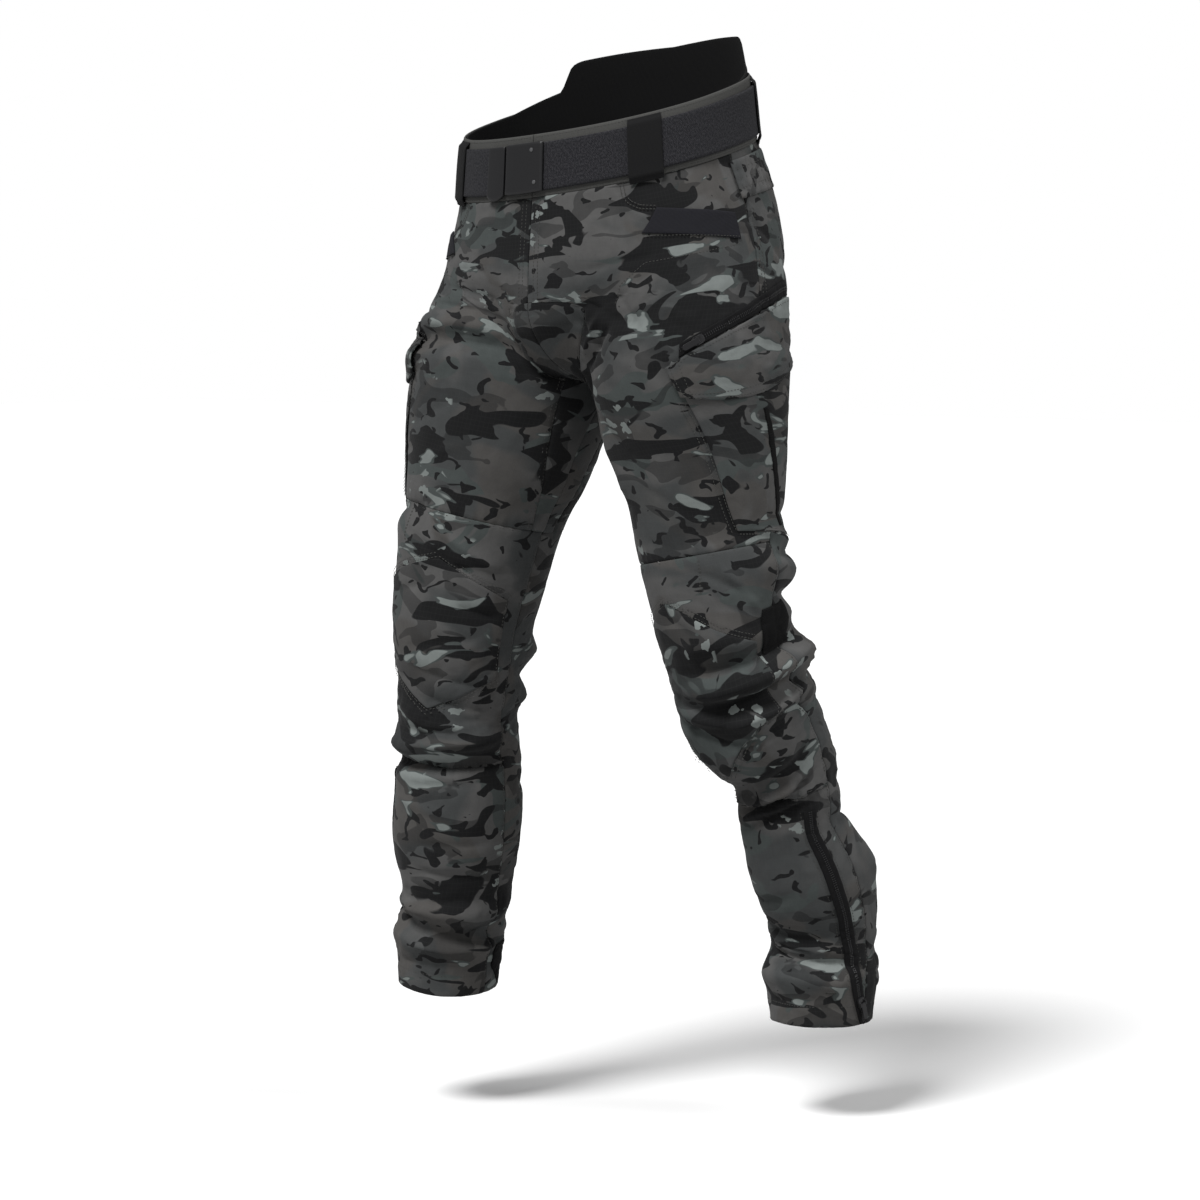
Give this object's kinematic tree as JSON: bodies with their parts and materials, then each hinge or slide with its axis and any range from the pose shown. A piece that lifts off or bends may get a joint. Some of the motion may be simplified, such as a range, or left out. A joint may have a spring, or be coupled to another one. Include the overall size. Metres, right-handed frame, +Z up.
{
  "type": "cargo trousers with belt",
  "caption": "Camouflage cargo trousers with knee panels, slanted cargo pockets, ankle zips and a webbing belt, hollow and shaped as worn in a walking stride.",
  "frame": {"origin": "middle of the waist opening at half the height of the belt; the wearer holds the trousers up there", "axes": "+Z up, the wearer faces -Y, the wearer's left side is +X"},
  "size_m": [0.4813, 0.3742, 1.0334],
  "materials": {
    "camouflage_cloth": null,
    "black_cloth": "matt black stretch and webbing cloth",
    "belt_webbing": "coarse charcoal webbing",
    "zip_tape": "black zip tape and coil",
    "black_hardware": "satin black"
  },
  "bodies": {
    "trousers": {"ankle_slider_left": "black_hardware", "ankle_slider_right": "black_hardware", "ankle_zip_left": "zip_tape", "ankle_zip_right": "zip_tape", "back_left": "camouflage_cloth", "back_right": "camouflage_cloth", "belt": "belt_webbing", "belt_loop_back": "black_cloth", "belt_loop_front_left": "black_cloth", "belt_loop_front_right": "black_cloth", "belt_loop_side_left": "black_cloth", "belt_loop_side_right": "black_cloth", "buckle_catch_plate": "black_hardware", "buckle_release_plate": "black_hardware", "cargo_bag_left": "camouflage_cloth", "cargo_bag_right": "camouflage_cloth", "cargo_bellows_left": "black_cloth", "cargo_bellows_right": "black_cloth", "cargo_flap_left": "camouflage_cloth", "cargo_flap_right": "camouflage_cloth", "cargo_slider_left": "black_hardware", "cargo_slider_right": "black_hardware", "cargo_zip_left": "zip_tape", "cargo_zip_right": "zip_tape", "crotch_gusset": "camouflage_cloth", "front_knee_left": "camouflage_cloth", "front_knee_right": "camouflage_cloth", "front_shin_left": "camouflage_cloth", "front_shin_right": "camouflage_cloth", "front_thigh_left": "camouflage_cloth", "front_thigh_right": "camouflage_cloth", "hem_tab_left": "black_cloth", "hem_tab_right": "black_cloth", "hip_pocket_band_left": "black_cloth", "hip_pocket_band_right": "black_cloth", "hip_pocket_facing_left": "camouflage_cloth", "hip_pocket_facing_right": "camouflage_cloth", "knee_patch_left": "black_cloth", "knee_patch_right": "black_cloth", "knee_pocket_left": "camouflage_cloth", "knee_pocket_right": "camouflage_cloth", "side_gather_left": "camouflage_cloth", "side_gather_right": "camouflage_cloth", "waist_facing": "black_cloth", "waistband_left": "camouflage_cloth", "waistband_right": "camouflage_cloth"},
    "cargo_pull_left": {"cargo_pull_left": "black_hardware"},
    "ankle_pull_left": {"ankle_pull_left": "black_hardware"},
    "cargo_pull_right": {"cargo_pull_right": "black_hardware"},
    "ankle_pull_right": {"ankle_pull_right": "black_hardware"}
  },
  "joints": [
    {"name": "cargo_pull_left_hinge", "type": "hinge", "parent": "trousers", "child": "cargo_pull_left", "pos_m": [0.17541, -0.07618, -0.20247], "axis": [-0.3469, -0.3339, 0.8764], "range_deg": [0, 150]},
    {"name": "ankle_pull_left_hinge", "type": "hinge", "parent": "trousers", "child": "ankle_pull_left", "pos_m": [0.21039, 0.16853, -0.90066], "axis": [-0.1651, -0.8994, -0.4048], "range_deg": [0, 150]},
    {"name": "cargo_pull_right_hinge", "type": "hinge", "parent": "trousers", "child": "cargo_pull_right", "pos_m": [-0.17575, -0.09476, -0.19096], "axis": [-0.4194, 0.0048, -0.9078], "range_deg": [0, 150]},
    {"name": "ankle_pull_right_hinge", "type": "hinge", "parent": "trousers", "child": "ankle_pull_right", "pos_m": [-0.26288, -0.0219, -0.86658], "axis": [-0.0852, 0.871, 0.4839], "range_deg": [0, 150]}
  ]
}
